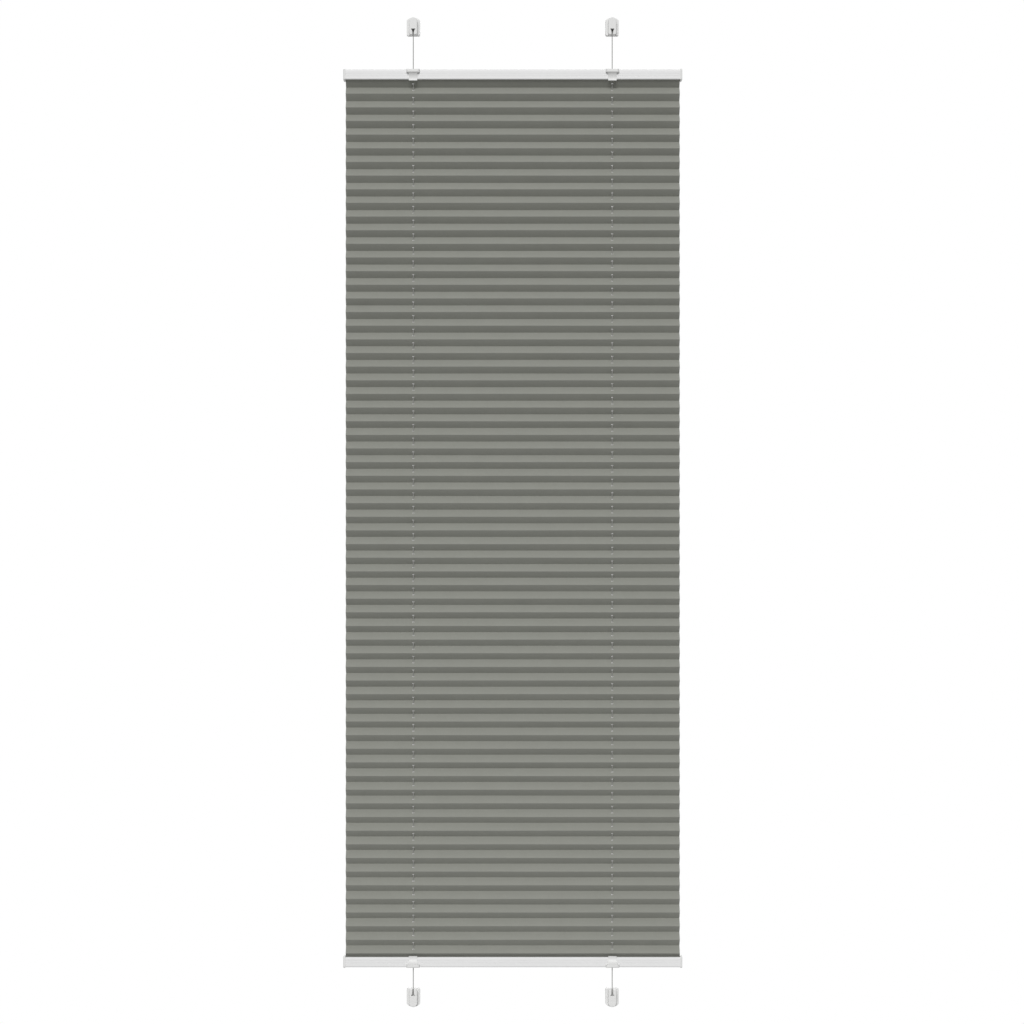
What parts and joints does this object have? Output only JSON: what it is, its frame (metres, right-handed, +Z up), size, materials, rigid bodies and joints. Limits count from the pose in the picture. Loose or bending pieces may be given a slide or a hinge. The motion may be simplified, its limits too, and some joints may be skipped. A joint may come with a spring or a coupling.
{
  "type": "pleated blind",
  "caption": "Cord-tensioned pleated blind with a movable rail at both ends of a grey fabric, held by tension shoes on the window frame.",
  "frame": {"origin": "centre of the four shoe screws, on the wall plane behind the shoes", "axes": "+X right seen from the room, +Y into the wall, +Z up"},
  "size_m": [0.5, 0.031, 1.4628],
  "materials": {
    "pleated_fabric": "matt woven polyester",
    "rail_paint": "white powder coat",
    "white_plastic": "matt",
    "clear_strip": "matt",
    "cord": "braided polyester"
  },
  "bodies": {
    "shoes_and_cords": {"pleated_fabric": "pleated_fabric", "top_shoe_base_left": "white_plastic", "top_shoe_cover_left": "white_plastic", "top_cord_knob_left": "white_plastic", "top_shoe_base_right": "white_plastic", "top_shoe_cover_right": "white_plastic", "top_cord_knob_right": "white_plastic", "bottom_shoe_base_left": "white_plastic", "bottom_shoe_cover_left": "white_plastic", "bottom_cord_knob_left": "white_plastic", "bottom_shoe_base_right": "white_plastic", "bottom_shoe_cover_right": "white_plastic", "bottom_cord_knob_right": "white_plastic", "tension_cord_left": "cord", "tension_cord_right": "cord"},
    "top_rail": {"top_rail": "rail_paint", "top_fabric_strip": "clear_strip", "top_rail_cap_left": "white_plastic", "top_grip_left": "white_plastic", "top_cord_guide_left": "white_plastic", "top_rail_cap_right": "white_plastic", "top_grip_right": "white_plastic", "top_cord_guide_right": "white_plastic"},
    "bottom_rail": {"bottom_rail": "rail_paint", "bottom_fabric_strip": "clear_strip", "bottom_rail_cap_left": "white_plastic", "bottom_grip_left": "white_plastic", "bottom_cord_guide_left": "white_plastic", "bottom_rail_cap_right": "white_plastic", "bottom_grip_right": "white_plastic", "bottom_cord_guide_right": "white_plastic"}
  },
  "joints": [
    {"name": "top_rail_slide", "type": "slide", "parent": "shoes_and_cords", "child": "top_rail", "axis": [0, 0, 1], "range_m": [-0.62, 0.048], "deforming": ["pleated_fabric"]},
    {"name": "bottom_rail_slide", "type": "slide", "parent": "shoes_and_cords", "child": "bottom_rail", "axis": [0, 0, 1], "range_m": [-0.03, 0.62], "deforming": ["pleated_fabric"]}
  ]
}
